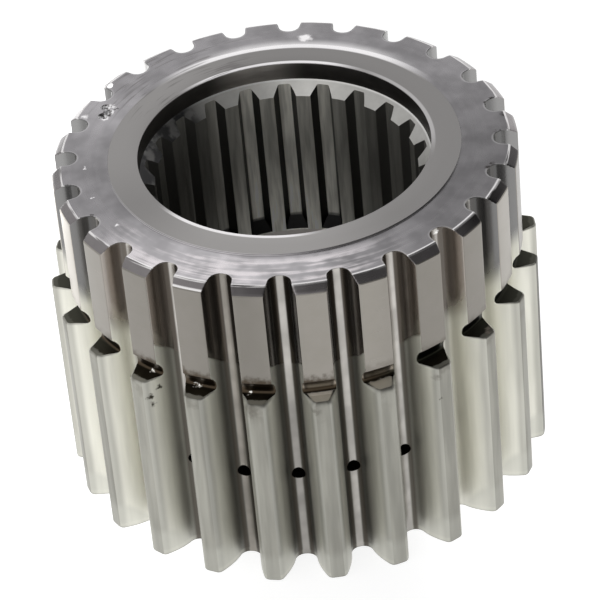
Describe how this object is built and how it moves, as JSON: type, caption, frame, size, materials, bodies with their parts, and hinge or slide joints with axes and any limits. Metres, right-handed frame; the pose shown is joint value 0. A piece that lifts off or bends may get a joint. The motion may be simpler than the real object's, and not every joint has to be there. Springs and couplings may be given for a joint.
{
  "type": "sun gear",
  "caption": "Steel sun gear with outer teeth turned down at one end, radial oil holes in the tooth gaps, and a bore with a blind inner spline under a counterbore.",
  "frame": {"origin": "centre of the lower face, the end face at the full-depth teeth, on the gear's axis", "axes": "+Z along the gear's axis, from the full-depth teeth to the turned-down end; +X through the middle of an outer tooth that is in line with a spline tooth"},
  "size_m": [0.0816, 0.0816, 0.0588],
  "materials": {
    "gear_steel": "machined and hardened steel, satin and lightly worn, darker in the roots and the bore"
  },
  "bodies": {
    "root": {"sun_gear": "gear_steel"}
  },
  "joints": []
}
